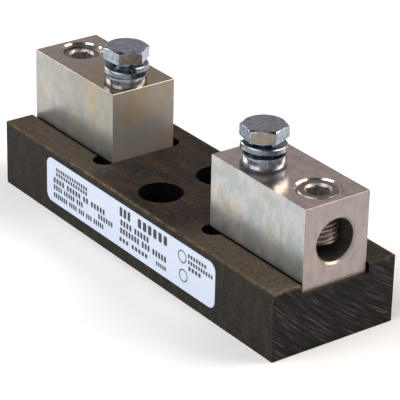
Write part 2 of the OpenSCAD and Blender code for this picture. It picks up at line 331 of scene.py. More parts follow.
def chips_and_edge_highlight(material, spot, x, y, z):
    """Where the resin has come off in chips along the bar's top edges and the ends' edges, most of all at
    the front; the paler colour there is also a painted highlight on the edges.
    """
    inside, outside, depth = 0.9 * MM, 0.1 * MM, 0.7 * MM
    long_edge = outer_mask(material, y, BASE_HIGH.y - inside, BASE_HIGH.y - outside)
    end_edge = outer_mask(material, x, BASE_HIGH.x - inside, BASE_HIGH.x - outside)
    rim = add_node(material, RANGE, {VALUE: z, FROM_MIN: BASE_HIGH.z - depth, FROM_MAX: BASE_HIGH.z})
    corner = add_node(material, MATH, {FIRST: long_edge, SECOND: end_edge}, operation="MAXIMUM")
    corner = add_node(material, MATH, {FIRST: corner, SECOND: rim}, operation="MULTIPLY")
    chips = add_node(material, NOISE, {"Vector": spot, "Scale": per_mm(1.8), "Detail": 2.5,
                                       "Roughness": 0.7})
    chips = add_node(material, RANGE, {VALUE: chips, FROM_MIN: 0.35, FROM_MAX: 0.65,
                                       TO_MIN: 0.0, TO_MAX: 0.9})
    front = add_node(material, RANGE, {VALUE: y, FROM_MIN: -POCKET_HALF_WIDTH, FROM_MAX: POCKET_HALF_WIDTH,
                                       TO_MIN: 1.0, TO_MAX: 0.4})
    chips = add_node(material, MATH, {FIRST: chips, SECOND: front}, operation="MULTIPLY")
    return add_node(material, MATH, {FIRST: corner, SECOND: chips}, operation="MULTIPLY")


def laminate():
    """Canvas laminate: mottled brown-black on top, streaked down its long sides, sawn across its ends."""
    material, shader, spot = new_material("canvas_phenolic_laminate", Roughness=0.55,
                                          Specular_IOR_Level=0.13)
    x, y, z = add_node(material, SEPARATE, {"Vector": spot}).node.outputs
    fibre = add_node(material, NOISE, {"Vector": spot, "Scale": per_mm(0.7), "Detail": 1.5,
                                       "Roughness": 0.6})
    top = milled_top(material, spot, x, y, fibre)
    side = long_side(material, spot, fibre)
    saw = saw_marks(material, spot, y)
    end = add_node(material, RAMP, {"Fac": saw},
                   stops=[(0.4, "#090708"), (0.5, "#141112"), (0.58, "#2b2625"), (0.7, "#5a534b")])
    # One face's colour gives way to the next one's inside this thin skin
    skin_start, skin_end = 0.12 * MM, 0.08 * MM
    on_side = outer_mask(material, y, BASE_HIGH.y - skin_start, BASE_HIGH.y - skin_end)
    on_end = outer_mask(material, x, BASE_HIGH.x - skin_start, BASE_HIGH.x - skin_end)
    colour = add_node(material, MIX, {FACTOR: on_side, COLOUR_A: top, COLOUR_B: side}, data_type="RGBA")
    colour = add_node(material, MIX, {FACTOR: on_end, COLOUR_A: colour, COLOUR_B: end}, data_type="RGBA")
    # Chips in the resin bare the paler canvas, which is also a painted highlight along the edges
    chips_and_highlight = chips_and_edge_highlight(material, spot, x, y, z)
    colour = add_node(material, MIX, {FACTOR: chips_and_highlight, COLOUR_A: colour, COLOUR_B: "#72644c"},
                      data_type="RGBA")
    marks = add_node(material, MIX, {FACTOR: on_end, FLOAT_A: fibre, FLOAT_B: saw}, data_type="FLOAT")
    relief = add_node(material, BUMP, {"Height": marks, "Distance": 0.03 * MM})
    connect(material, shader, Base_Color=colour, Normal=relief)
    return material


def laminate_hole_painted_shade():
    """Inside of the holes: painted shade, almost black, with faint rings."""
    material, shader, spot = new_material("laminate_hole_painted_shade", Roughness=0.75, Specular_IOR_Level=0.05)
    flat = add_node(material, MAPPING, {"Vector": spot, "Scale": (0.1, 0.1, 1)})
    rings = add_node(material, NOISE, {"Vector": flat, "Scale": per_mm(0.4), "Detail": 3})
    colour = add_node(material, RAMP, {"Fac": rings}, stops=[(0.35, "#050507"), (0.7, "#0c0b0c")])
    connect(material, shader, Base_Color=colour)
    return material


# Plated metals, paper and ink

def tarnish_and_far_shade(material, spot, tall, x, colour):
    """Brown and grey film over the far connector's plate, strongest and warmest round its bolt; the
    darkening it gives the far connector is also painted shade, for light that falls off towards that end.
    """
    bolt_foot = (-27 * MM, 0, 42 * MM)
    from_bolt = add_node(material, VECTOR, {FIRST: spot, SECOND: bolt_foot}, operation="DISTANCE")
    cover = add_node(material, RANGE, {VALUE: from_bolt, FROM_MIN: 5 * MM, FROM_MAX: 32 * MM,
                                       TO_MIN: 0.8, TO_MAX: 0.35})
    far_side = add_node(material, RANGE, {VALUE: x, FROM_MIN: -21 * MM, FROM_MAX: -5 * MM,
                                          TO_MIN: 1.0, TO_MAX: 0.0})
    cover = add_node(material, MATH, {FIRST: cover, SECOND: far_side}, operation="MULTIPLY")
    shifted = add_node(material, MAPPING, {"Vector": tall, "Location": (0.02, 0.01, 0.03)})
    veil = add_node(material, NOISE, {"Vector": shifted, "Scale": per_mm(5), "Detail": 4, "Roughness": 0.65})
    veil = add_node(material, RANGE, {VALUE: veil, FROM_MIN: 0.28, FROM_MAX: 0.72})
    warmth = add_node(material, RANGE, {VALUE: from_bolt, FROM_MIN: 6 * MM, FROM_MAX: 18 * MM,
                                        TO_MIN: 0.35, TO_MAX: -0.15})
    veil = add_node(material, MATH, {FIRST: veil, SECOND: warmth}, operation="ADD")
    film = add_node(material, RAMP, {"Fac": veil},
                    stops=[(0.1, "#7f8683"), (0.45, "#948f7e"), (0.95, "#998461")])
    return add_node(material, MIX, {FACTOR: cover, COLOUR_A: colour, COLOUR_B: film}, data_type="RGBA")


def painted_pocket_shade(material, y, z, colour):
    """Painted shade over the foot of the connectors' sides: near-black where they go down into the pocket,
    and faint for 8 mm above the base's top.
    """
    skin_start, skin_end, thick, thin = 0.12 * MM, 0.06 * MM, 0.2 * MM, 8 * MM
    aside = add_node(material, MATH, {FIRST: y, SECOND: CONNECTOR_Y}, operation="SUBTRACT")
    half_width = CONNECTOR_HIGH.y - CONNECTOR_Y
    on_side = outer_mask(material, aside, half_width - skin_start, half_width - skin_end)
    sunk = add_node(material, RANGE, {VALUE: z, FROM_MIN: BASE_HIGH.z - thick, FROM_MAX: BASE_HIGH.z,
                                      TO_MIN: 1.0, TO_MAX: 0.0})
    low = add_node(material, RANGE, {VALUE: z, FROM_MIN: BASE_HIGH.z, FROM_MAX: BASE_HIGH.z + thin,
                                     TO_MIN: 0.2, TO_MAX: 0.0})
    painted_shade = add_node(material, MATH, {FIRST: sunk, SECOND: low}, operation="MAXIMUM")
    painted_shade = add_node(material, MATH, {FIRST: painted_shade, SECOND: on_side}, operation="MULTIPLY")
    return add_node(material, MIX, {FACTOR: painted_shade, COLOUR_A: colour, COLOUR_B: "#15130f"}, data_type="RGBA")


def plated(name, tones, smudge, metallic, rough, grain, grain_mm):
    """Tin plate on aluminium: cloudy, smudged, and with a fine grain that the machining has stretched."""
    material, shader, spot = new_material(name, Metallic=metallic, Roughness=rough)
    x, y, z = add_node(material, SEPARATE, {"Vector": spot}).node.outputs
    drawn = add_node(material, MAPPING, {"Vector": spot, "Scale": grain})
    lines = add_node(material, NOISE, {"Vector": drawn, "Scale": per_mm(grain_mm), "Detail": 2})
    tall = add_node(material, MAPPING, {"Vector": spot, "Scale": (1, 1, 0.55)})
    clouds = add_node(material, NOISE, {"Vector": tall, "Scale": per_mm(7), "Detail": 4, "Roughness": 0.65})
    smudges = add_node(material, NOISE, {"Vector": tall, "Scale": per_mm(2.2), "Detail": 2.5,
                                         "Roughness": 0.65})
    colour = add_node(material, RAMP, {"Fac": clouds}, stops=tones)
    cover = add_node(material, RANGE, {VALUE: smudges, FROM_MIN: 0.42, FROM_MAX: 0.66,
                                       TO_MIN: 0.0, TO_MAX: 0.85})
    colour = add_node(material, MIX, {FACTOR: cover, COLOUR_A: colour, COLOUR_B: smudge}, data_type="RGBA")
    cover = add_node(material, RANGE, {VALUE: lines, FROM_MIN: 0.5, FROM_MAX: 0.75,
                                       TO_MIN: 0.0, TO_MAX: 0.2})
    colour = add_node(material, MIX, {FACTOR: cover, COLOUR_A: colour, COLOUR_B: "#8d8880"},
                      data_type="RGBA")
    # Tarnish, and painted shade over the far connector
    colour = tarnish_and_far_shade(material, spot, tall, x, colour)
    # Painted shade darkens the foot of the connectors' sides
    colour = painted_pocket_shade(material, y, z, colour)
    connect(material, shader, Base_Color=colour)
    return material


def zinc_plate(name, tones, rough, streak_mm):
    """Bright zinc on cold formed steel: bluish and smooth, with brownish worn spots and drawn streaks."""
    material, shader, spot = new_material(name, Metallic=1.0)
    upright = add_node(material, MAPPING, {"Vector": spot, "Scale": (1, 1, 0.1)})
    streaks = add_node(material, NOISE, {"Vector": upright, "Scale": per_mm(streak_mm), "Detail": 4})
    wear = add_node(material, NOISE, {"Vector": spot, "Scale": per_mm(1.1), "Detail": 3, "Roughness": 0.8})
    colour = add_node(material, RAMP, {"Fac": wear}, stops=tones)
    cover = add_node(material, RANGE, {VALUE: streaks, FROM_MIN: 0.5, FROM_MAX: 0.7,
                                       TO_MIN: 0.0, TO_MAX: 0.5})
    colour = add_node(material, MIX, {FACTOR: cover, COLOUR_A: colour, COLOUR_B: "#7b7469"},
                      data_type="RGBA")
    haze = add_node(material, RANGE, {VALUE: wear, FROM_MIN: 0.3, FROM_MAX: 0.7,
                                      TO_MIN: rough * 0.7, TO_MAX: rough * 1.4})
    relief = add_node(material, BUMP, {"Height": wear, "Distance": 0.004 * MM})
    connect(material, shader, Base_Color=colour, Roughness=haze, Normal=relief)
    return material


def screw_steel(name, tones, metallic, rough):
    """Plated set screw of machined steel, duller than the bolts."""
    material, shader, spot = new_material(name, Metallic=metallic)
    wear = add_node(material, NOISE, {"Vector": spot, "Scale": per_mm(1.2), "Detail": 2})
    colour = add_node(material, RAMP, {"Fac": wear}, stops=tones)
    haze = add_node(material, RANGE, {VALUE: wear, FROM_MIN: 0.3, FROM_MAX: 0.7,
                                      TO_MIN: rough * 0.8, TO_MAX: rough * 1.3})
    connect(material, shader, Base_Color=colour, Roughness=haze)
    return material


def plain(name, tones, grain_mm, rough, ior):
    """Paper or ink: one colour with a faint grain."""
    material, shader, spot = new_material(name, Roughness=rough, IOR=ior)
    grain = add_node(material, NOISE, {"Vector": spot, "Scale": per_mm(grain_mm), "Detail": 3})
    connect(material, shader, Base_Color=add_node(material, RAMP, {"Fac": grain}, stops=tones))
    return material


LAMINATE = laminate()
HOLE_SHADE = laminate_hole_painted_shade()
# The extruded sides are satin and faintly green, the milled tops smoother, the sawn ends rougher and
# grained, and the drilled wire holes dull. The tops' mauve tint is a painted reflection of the room, the
# ends' darker rosy tones are painted shade, and the wire holes' dark brown is painted shade inside the hole
PLATED = plated("tin_plated_extruded_side", [(0.36, "#acb6b9"), (0.5, "#c2c3c3"), (0.64, "#cfc4b2")],
                "#aaaaa3", metallic=0.75, rough=0.28, grain=(1, 1, 0.12), grain_mm=0.8)
PLATED_TOP_REFLECTION_TINT = plated("tin_plated_milled_top_painted_reflection", [(0.35, "#bdb1ae"), (0.5, "#c4b8b5"), (0.65, "#c6b9ae")],
                    "#aca19e", metallic=0.95, rough=0.16, grain=(0.12, 1, 1), grain_mm=0.6)
PLATED_END_SHADED = plated("tin_plated_sawn_end_painted_shade", [(0.35, "#9b9191"), (0.5, "#a29794"), (0.65, "#a99990")],
                    "#918785", metallic=0.45, rough=0.3, grain=(1, 0.5, 0.5), grain_mm=0.5)
PLATED_BORE_SHADED = plated("tin_plated_bore_painted_shade", [(0.35, "#4c494b"), (0.5, "#5b514a"), (0.65, "#6d5b49")],
                     "#4c433b", metallic=0.5, rough=0.35, grain=(0.1, 1, 1), grain_mm=0.5)
# The bolts are bright, with painted shade in darker brown zinc on the flat that faces the camera,
# and the coiled washers are darker as painted shade
ZINC = zinc_plate("bright_zinc_plate", [(0.38, "#7f8a98"), (0.62, "#b0bccb")], rough=0.22, streak_mm=0.5)
SHADED_FLAT_ZINC = zinc_plate("zinc_plate_flat_painted_shade", [(0.35, "#7d776d"), (0.65, "#989286")], rough=0.28, streak_mm=0.5)
# The coiled washers' darker tones are painted shade
SPRING_ZINC_SHADED = zinc_plate("zinc_spring_steel_painted_shade", [(0.35, "#707880"), (0.65, "#8c959f")],
                         rough=0.3, streak_mm=0.9)
# The set screws are duller and browner, their sockets cut bright
SCREW = screw_steel("plated_set_screw_steel", [(0.35, "#7e736a"), (0.65, "#988d86")],
                    metallic=1.0, rough=0.34)
SOCKET = screw_steel("broached_socket_steel", [(0.35, "#858180"), (0.65, "#a3a09e")],
                     metallic=0.8, rough=0.4)
# Coated paper is cool white with a soft sheen, print a dull black, and the floor a plain matt white
PAPER = plain("coated_label_paper", [(0.3, "#c5d0e3"), (0.7, "#ccd7e8")], grain_mm=0.5, rough=0.4, ior=1.5)
INK = plain("black_thermal_print", [(0.3, "#1c1c20"), (0.7, "#33343a")], grain_mm=0.4, rough=0.45, ior=1.5)
FLOOR = plain("seamless_white_paper", [(0.3, "#f4f4f4"), (0.7, "#f7f7f7")], grain_mm=0.8, rough=0.9, ior=1.4)


# Modelling by hand

def deselect():
    """Leaves edit mode and selects nothing."""
    if bpy.context.mode != "OBJECT":
        bpy.ops.object.mode_set(mode="OBJECT")
    bpy.ops.object.select_all(action="DESELECT")


def choose(thing):
    """Selects one object alone."""
    deselect()
    thing.select_set(True)
    bpy.context.view_layer.objects.active = thing


def edit_all(thing):
    """Opens an object in edit mode with all of its mesh selected."""
    choose(thing)
    bpy.ops.object.mode_set(mode="EDIT")
    bpy.ops.mesh.select_all(action="SELECT")


def block(name, low, high):
    """Box between two corners."""
    deselect()
    low, high = Vector(low), Vector(high)
    bpy.ops.mesh.primitive_cube_add(size=1, location=(low + high) / 2)
    thing = bpy.context.object
    thing.name = name
    thing.scale = high - low
    bpy.ops.object.transform_apply(location=True, rotation=True, scale=True)
    return thing


def rod(name, radius, bottom, top, middle=(0, 0), sides=ROUND_STEPS, turn=0.0, tip_radius=None):
    """Upright cylinder, or a cone if tip_radius is given."""
    deselect()
    top_radius = radius if tip_radius is None else tip_radius
    place = (middle[0], middle[1], (bottom + top) / 2)
    bpy.ops.mesh.primitive_cone_add(vertices=sides, radius1=radius, radius2=top_radius, depth=top - bottom,
                                    location=place, rotation=(0, 0, turn))
    thing = bpy.context.object
    thing.name = name
    bpy.ops.object.transform_apply(location=True, rotation=True, scale=True)
    return thing


def outline(name, points):
    """Open line drawn by extruding one corner from point to point."""
    deselect()
    bpy.ops.mesh.primitive_plane_add(size=1, location=(0, 0, 0))
    thing = bpy.context.object
    thing.name = name
    edit_all(thing)
    bpy.ops.mesh.merge(type="CENTER")
    bpy.ops.transform.translate(value=Vector(points[0]))
    for here, there in zip(points, points[1:]):
        bpy.ops.mesh.extrude_vertices_move(TRANSFORM_OT_translate={"value": Vector(there) - Vector(here)})
    bpy.ops.object.mode_set(mode="OBJECT")
    return thing


def close_shape(thing):
    """Merges doubles and turns all faces outwards."""
    edit_all(thing)
    bpy.ops.mesh.remove_doubles(threshold=MERGE_DISTANCE)
    bpy.ops.mesh.normals_make_consistent(inside=False)
    bpy.ops.object.mode_set(mode="OBJECT")


def shift(thing, by):
    """Moves a mesh and leaves its object at the origin."""
    thing.data.transform(Matrix.Translation(Vector(by)))


def turned(name, profile, middle=(0, 0), steps=ROUND_STEPS):
    """Solid turned about an upright axis from (radius, height) points that end on the axis or close up."""
    thing = outline(name, [(radius, 0, height) for radius, height in profile])
    edit_all(thing)
    bpy.ops.mesh.spin(steps=steps, angle=TAU, center=(0, 0, 0), axis=(0, 0, 1))
    bpy.ops.object.mode_set(mode="OBJECT")
    close_shape(thing)
    shift(thing, (middle[0], middle[1], 0))
    return thing


def apply_modifier(thing, kind, **settings):
    """Adds one modifier to an object and applies it."""
    choose(thing)
    modifier = thing.modifiers.new(kind.lower(), kind)
    for key, value in settings.items():
        setattr(modifier, key, value)
    bpy.ops.object.modifier_apply(modifier=modifier.name)


def combine(thing, tool, operation="DIFFERENCE"):
    """Boolean with another solid, which is used up."""
    apply_modifier(thing, "BOOLEAN", operation=operation, object=tool, solver="EXACT")
    bpy.data.objects.remove(tool)


def break_edges(thing, width, segments=2, angle=30):
    """Small bevel on every edge sharper than the angle."""
    apply_modifier(thing, "BEVEL", width=width, segments=segments, limit_method="ANGLE",
                   angle_limit=math.radians(angle), harden_normals=False, miter_outer="MITER_SHARP")


def bevel_through(thing, width, segments):
    """Rounds the edges that run along Y, through a thin sheet's thickness."""
    edit_all(thing)
    bpy.ops.mesh.select_mode(type="EDGE")
    bpy.ops.mesh.select_all(action="DESELECT")
    bpy.ops.object.mode_set(mode="OBJECT")
    corners = thing.data.vertices
    for edge in thing.data.edges:
        run = corners[edge.vertices[0]].co - corners[edge.vertices[1]].co
        edge.select = abs(run.y) > 0.99 * run.length
    bpy.ops.object.mode_set(mode="EDIT")
    bpy.ops.mesh.bevel(offset=width, segments=segments, affect="EDGES")
    bpy.ops.mesh.select_mode(type="VERT")
    bpy.ops.object.mode_set(mode="OBJECT")


def trim(thing, height, keep_above):
    """Cuts a mesh at a height and closes the cut."""
    edit_all(thing)
    bpy.ops.mesh.bisect(plane_co=(0, 0, height), plane_no=(0, 0, 1), use_fill=True, clear_inner=keep_above,
                        clear_outer=not keep_above, threshold=1e-7)
    bpy.ops.object.mode_set(mode="OBJECT")


def threaded_rod(name, radius, bottom, top, steps):
    """Right-handed V thread about the Z axis, cut flat at both ends."""
    flat = THREAD_PITCH / 8
    slope = (THREAD_PITCH - 2 * flat) / 2
    root = radius - THREAD_DEPTH
    # Turns below and above the rod are trimmed off again
    turns_below, spare_turns = 2, 3
    start = bottom - turns_below * THREAD_PITCH
    turns = math.ceil((top - bottom) / THREAD_PITCH) + spare_turns
    ridge = [(radius, 0), (radius, flat), (root, flat + slope), (root, 2 * flat + slope),
             (radius, THREAD_PITCH)]
    thing = outline(name, [(r, 0, start + height) for r, height in ridge])
    apply_modifier(thing, "SCREW", axis="Z", angle=TAU, steps=steps, render_steps=steps,
                   screw_offset=THREAD_PITCH, iterations=turns, use_merge_vertices=True,
                   merge_threshold=MERGE_DISTANCE, use_normal_calculate=True)
    close_shape(thing)
    trim(thing, bottom, keep_above=True)
    trim(thing, top, keep_above=False)
    close_shape(thing)
    return thing


def lay_along_x(thing, place):
    """Turns an upright solid so that its height runs along +X, then moves it to its place."""
    thing.data.transform(Matrix.Translation(Vector(place)) @ Matrix.Rotation(TAU / 4, 4, "Y"))


def copy_of(thing, name, by=(0, 0, 0), turn=0.0, about=(0, 0)):
    """Copy with its own mesh, turned about an upright axis and then shifted."""
    twin = thing.copy()
    twin.data = thing.data.copy()
    twin.name = name
    bpy.context.scene.collection.objects.link(twin)
    axis = Vector((about[0], about[1], 0))
    twin.data.transform(Matrix.Translation(Vector(by)) @ Matrix.Translation(axis)
                        @ Matrix.Rotation(turn, 4, "Z") @ Matrix.Translation(-axis))
    return twin


def paint(thing, material, test):
    """Gives another material to the faces whose centre and normal pass the test."""
    thing.data.materials.append(material)
    index = len(thing.data.materials) - 1
    for face in thing.data.polygons:
        if test(face.center, face.normal):
            face.material_index = index


def finish_piece(thing, body, material, nodes):
    """Shades a piece, gives it its material and puts it on its body in place of its CAD nodes."""
    choose(thing)
    bpy.ops.object.shade_smooth_by_angle(angle=SMOOTH_ANGLE)
    apply_modifier(thing, "WEIGHTED_NORMAL", mode="FACE_AREA", weight=100, keep_sharp=True)
    thing.data.materials.clear()
    thing.data.materials.append(material)
    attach(thing, body)
    if nodes:
        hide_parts(*nodes)


# Camera and light

def aim(place, target):
    """Matrix of a camera or lamp that stands at a place and looks at the target."""
    turn = (target - place).to_track_quat("-Z", "Y").to_matrix().to_4x4()
    return Matrix.Translation(place) @ turn


def add_camera():
    """Camera solved from the photo's corners and hole centres."""
    data = bpy.data.cameras.new("camera")
    data.lens = CAMERA_LENS
    data.sensor_width = SENSOR_WIDTH
    data.clip_start, data.clip_end = CLIP_RANGE
    camera = bpy.data.objects.new("camera", data)
    camera.matrix_world = aim(CAMERA_PLACE, CAMERA_TARGET) @ Matrix.Rotation(CAMERA_ROLL, 4, "Z")
    bpy.context.scene.collection.objects.link(camera)
    bpy.context.scene.camera = camera


def lamp_place(azimuth, elevation, distance):
    """Point in a direction given in degrees, seen from the object."""
    turn, rise = math.radians(azimuth), math.radians(elevation)
    flat = distance * math.cos(rise)
    return LAMP_TARGET + Vector((flat * math.cos(turn), flat * math.sin(turn), distance * math.sin(rise)))


def add_softbox(name, azimuth, elevation, distance, width, height, power, colour):
    """Rectangular lamp that shines on the object."""
    data = bpy.data.lights.new(name, "AREA")
    data.shape = "RECTANGLE"
    data.size = width
    data.size_y = height
    data.energy = power
    data.color = srgb(colour)[:3]
    lamp = bpy.data.objects.new(name, data)
    lamp.matrix_world = aim(lamp_place(azimuth, elevation, distance), LAMP_TARGET)
    bpy.context.scene.collection.objects.link(lamp)


def add_room():
    """World that is an even grey wall round the table and a dark ceiling over it."""
    world = bpy.data.worlds.new("room")
    bpy.context.scene.world = world
    world.use_nodes = True
    background = world.node_tree.nodes["Background"]
    way = add_node(world, COORDINATES, {}, output="Generated")
    height = add_node(world, SEPARATE, {"Vector": way}, output="Z")
    height = add_node(world, RANGE, {VALUE: height, FROM_MIN: 0.5, FROM_MAX: 0.9})
    shade = add_node(world, RAMP, {"Fac": height}, stops=[(0.0, WALL), (1.0, CEILING)])
    world.node_tree.links.new(shade, background.inputs["Color"])


def add_studio():
    """Plain floor, a grey room with a dark ceiling, two softboxes, two windows and a weak fill."""
    deselect()
    bpy.ops.mesh.primitive_plane_add(size=FLOOR_SIZE, location=(0, 0, 0))
    floor = bpy.context.object
    floor.name = "floor"
    floor.data.materials.append(FLOOR)
    add_room()
    bpy.context.scene.view_settings.view_transform = "Standard"
    for name, values in LAMPS.items():
        add_softbox(name, *values)


# Base

def cut_pocket(bar, side):
    """One connector's pocket, its inner corners relieved by an end mill, and the screw hole below it."""
    beyond = 2 * REACH
    ends = sorted((side * POCKET_INNER, side * (BASE_HIGH.x + beyond)))
    combine(bar, block("pocket", (ends[0], -POCKET_HALF_WIDTH, POCKET_FLOOR),
                       (ends[1], POCKET_HALF_WIDTH, BASE_HIGH.z + beyond)))
    for y_side in (-1, 1):
        corner = (side * (POCKET_INNER + POCKET_RELIEF), y_side * POCKET_HALF_WIDTH)
        combine(bar, rod("relief", POCKET_RELIEF, POCKET_FLOOR, BASE_HIGH.z + beyond, corner))
    middle = (side * BOLT_X, 0)
    combine(bar, rod("screw_hole", SCREW_HOLE, -beyond, BASE_HIGH.z + beyond, middle))
    combine(bar, rod("screw_seat", SEAT_RADIUS, -beyond, SEAT_DEPTH, middle))


def cut_mount_holes(bar):
    """Two counterbored holes between the pockets."""
    beyond = 2 * REACH
    bore_floor = BASE_HIGH.z - MOUNT_BORE_DEPTH
    for y_side in (-1, 1):
        middle = (0, y_side * MOUNT_SPACING / 2)
        combine(bar, rod("mount_hole", MOUNT_RADIUS, -beyond, BASE_HIGH.z + beyond, middle))
        combine(bar, rod("mount_bore", MOUNT_BORE_RADIUS, bore_floor, BASE_HIGH.z + beyond, middle))


def is_hole_wall(centre, normal):
    """Upright faces of the bar that lie inside its four sides."""
    margin = 0.5 * MM
    return (abs(normal.z) < SLOPE and abs(centre.x) < BASE_HIGH.x - margin
            and abs(centre.y) < BASE_HIGH.y - margin)


def make_base():
    """Bar of laminate with its pockets and holes."""
    bar = block("laminate_base", BASE_LOW, BASE_HIGH)
    break_edges(bar, BASE_EDGE)
    for side in ENDS.values():
        cut_pocket(bar, side)
    cut_mount_holes(bar)
    finish_piece(bar, "block", LAMINATE, ["base"])
    # The upright walls inside the bar get near-black painted shade
    paint(bar, HOLE_SHADE, is_hole_wall)


# Connectors

def is_sawn_end(centre, normal):
    """The ends, and the broken rim of the wire hole in them."""
    rim = abs(normal.x) > SLOPE and abs(centre.x) > CONNECTOR_HIGH.x - 1.2 * WIRE_RIM
    return abs(normal.x) > FLAT or rim


def is_milled_top(centre, normal):
    """The top, and the countersinks of its two holes."""
    flat = normal.z > FLAT and centre.z > TOP - MOUTH_EDGE
    in_row = abs(centre.y - CONNECTOR_Y) < CLAMP_RADIUS + MM and abs(centre.x) < CONNECTOR_HIGH.x - MM
    return flat or (in_row and normal.z > SLOPE and centre.z > TOP - 1.5 * MOUTH_EDGE)


def is_wire_bore(centre, normal):
    """The wall of the wire hole."""
    from_axis = math.hypot(centre.y - CONNECTOR_Y, centre.z - WIRE_HEIGHT)
    return abs(normal.x) < BORE_WALL and from_axis < WIRE_RADIUS + SKIN


def cut_connector(bar):
    """The wire hole, the clamp screw's tapped hole and the bolt hole, both holes countersunk."""
    drill_tip = WIRE_RADIUS / math.tan(DRILL_ANGLE / 2)
    wire_tool = turned("wire_drill", [
        (0, -WIRE_DEPTH - drill_tip), (WIRE_RADIUS, -WIRE_DEPTH), (WIRE_RADIUS, -WIRE_RIM),
        (WIRE_RADIUS + 2 * WIRE_RIM, WIRE_RIM), (0, WIRE_RIM)])
    lay_along_x(wire_tool, (CONNECTOR_HIGH.x, CONNECTOR_Y, WIRE_HEIGHT))
    combine(bar, wire_tool)
    tap = threaded_rod("clamp_tap", CLAMP_RADIUS + PLAY, CLAMP_FLOOR, TOP + REACH, CLAMP_STEPS)
    shift(tap, (CLAMP_X, CONNECTOR_Y, 0))
    combine(bar, tap)
    for x, radius in ((CLAMP_X, CLAMP_RADIUS + MOUTH_PLAY), (BOLT_X, BOLT_RADIUS + MOUTH_PLAY)):
        combine(bar, rod("countersink", radius, TOP - MOUTH_EDGE, TOP + MOUTH_EDGE, (x, CONNECTOR_Y),
                         tip_radius=radius + 2 * MOUTH_EDGE))
    combine(bar, rod("bolt_hole", BOLT_RADIUS + PLAY, POCKET_FLOOR - REACH, TOP + REACH,
                     (BOLT_X, CONNECTOR_Y)))


def make_connectors():
    """One connector with its holes and broken edges, and its twin turned round."""
    near = block("connector_near_bar", CONNECTOR_LOW, CONNECTOR_HIGH)
    break_edges(near, CONNECTOR_EDGE, segments=1)
    cut_connector(near)
    far = copy_of(near, "connector_far_bar", turn=math.pi, about=(0, CONNECTOR_Y))
    finish_piece(near, "block", PLATED, ["connector_near"])
    finish_piece(far, "block", PLATED, ["connector_far"])
    for piece in (near, far):
        # Painted shade on the ends and in the wire hole, and a painted reflection tint on the top
        paint(piece, PLATED_END_SHADED, is_sawn_end)
        paint(piece, PLATED_TOP_REFLECTION_TINT, is_milled_top)
        paint(piece, PLATED_BORE_SHADED, is_wire_bore)


# Screws

def hexagon_corner(flats):
    """Distance from a hexagon's middle to its corners, from its width over the flats."""
    return flats / 2 / math.cos(TAU / 12)


def clamp_screw(name, low, high):
    """Socket set screw on the Z axis: rolled thread, chamfered ends and a drilled hexagon socket."""
    screw = threaded_rod(name, CLAMP_RADIUS, low - REACH, high + REACH, CLAMP_STEPS)
    blank = turned("clamp_blank", [
        (0, low), (CLAMP_RADIUS - CLAMP_EDGE, low), (CLAMP_RADIUS + SKIN, low + CLAMP_EDGE),
        (CLAMP_RADIUS + SKIN, high - CLAMP_EDGE), (CLAMP_RADIUS - CLAMP_EDGE, high), (0, high)])
    combine(screw, blank, "INTERSECT")
    socket_floor = high - SOCKET_DEPTH
    corner = hexagon_corner(SOCKET_FLATS)
    combine(screw, rod("socket", corner, socket_floor, high + REACH, sides=6))
    combine(screw, rod("socket_drill", 0, socket_floor - SOCKET_POINT, socket_floor,
                       tip_radius=SOCKET_FLATS / 2))
    rim = corner + SOCKET_RIM
    combine(screw, rod("socket_rim", rim - CLAMP_EDGE, high - CLAMP_EDGE, high + CLAMP_EDGE,
                       tip_radius=rim + CLAMP_EDGE))
    return screw


def make_clamp_screws():
    """The near set screw and its twin, which sits deeper and turned a little."""
    low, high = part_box("clamp_screw_near")
    far_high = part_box("clamp_screw_far")[1]
    near = clamp_screw("clamp_screw_near_steel", low.z, high.z)
    far = copy_of(near, "clamp_screw_far_steel", by=(-CLAMP_X, CONNECTOR_Y, far_high.z - high.z),
                  turn=CLAMP_FAR_TURN)
    shift(near, (CLAMP_X, CONNECTOR_Y, 0))
    finish_piece(near, "clamp_near", SCREW, ["clamp_screw_near"])
    finish_piece(far, "clamp_far", SCREW, ["clamp_screw_far"])
    socket_end = high.z - SOCKET_DEPTH - MM
    rim = hexagon_corner(SOCKET_FLATS) + SOCKET_RIM
    for screw, x in ((near, CLAMP_X), (far, -CLAMP_X)):
        paint(screw, SOCKET, lambda centre, normal: abs(normal.z) < FLAT and centre.z > socket_end
              and math.hypot(centre.x - x, centre.y - CONNECTOR_Y) < rim)


def bolt_head(name, seat, top):
    """Hexagon head with a chamfered crown, broken edges and a round bearing face."""
    corner = hexagon_corner(HEX_FLATS)
    chamfer_drop = (corner - CROWN_RADIUS) * CROWN_SLOPE
    head = rod(name, corner, seat + HEX_FACE, top, sides=6, turn=TAU / 4)
    crown = turned("crown", [
        (0, seat), (corner + REACH, seat), (corner + REACH, top - chamfer_drop - REACH * CROWN_SLOPE),
        (CROWN_RADIUS, top), (0, top)])
    combine(head, crown, "INTERSECT")
    break_edges(head, HEX_EDGE, angle=20)
    combine(head, rod("bearing_face", HEX_FLATS / 2 - HEX_FACE, seat, seat + 2 * HEX_FACE), "UNION")
    return head


def bolt_shank(low, seat):
    """Rolled thread with a chamfered point, on the Z axis."""
    shank = threaded_rod("shank", BOLT_RADIUS, low - REACH, seat + HEX_FACE, BOLT_STEPS)
    point = turned("point", [
        (0, low), (BOLT_RADIUS - BOLT_POINT, low), (BOLT_RADIUS + SKIN, low + BOLT_POINT),
        (BOLT_RADIUS + SKIN, seat + HEX_FACE / 2), (0, seat + HEX_FACE / 2)], steps=BOLT_STEPS)
    combine(shank, point, "INTERSECT")
    return shank


